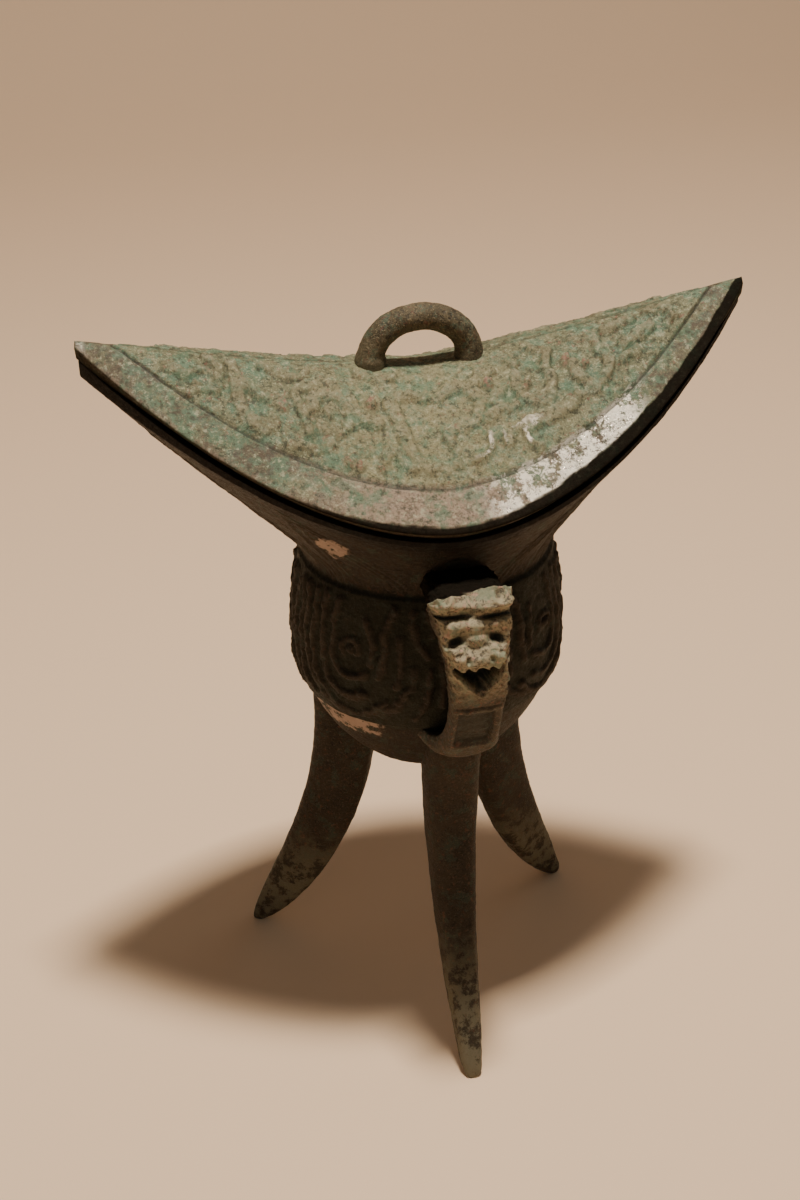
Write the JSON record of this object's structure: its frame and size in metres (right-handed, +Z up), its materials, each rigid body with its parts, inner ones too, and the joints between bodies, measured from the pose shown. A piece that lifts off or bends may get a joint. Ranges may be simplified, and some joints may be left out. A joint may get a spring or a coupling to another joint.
{
  "type": "bronze jiao",
  "caption": "Lidded bronze wine vessel on three blade legs, with pointed wings, a relief band, an animal-head handle and a saddle-shaped lid with a half ring.",
  "frame": {"origin": "centre of the bounding box's underside, on the plane that the three feet stand on", "axes": "+Z up, X from wing tip to wing tip, -Y towards the handle and the front leg"},
  "size_m": [0.1746, 0.1042, 0.2116],
  "materials": {
    "dark_bronze": "dark patina",
    "green_bronze": "green patina"
  },
  "bodies": {
    "root": {"vessel": "dark_bronze", "lid": "green_bronze"}
  },
  "joints": []
}
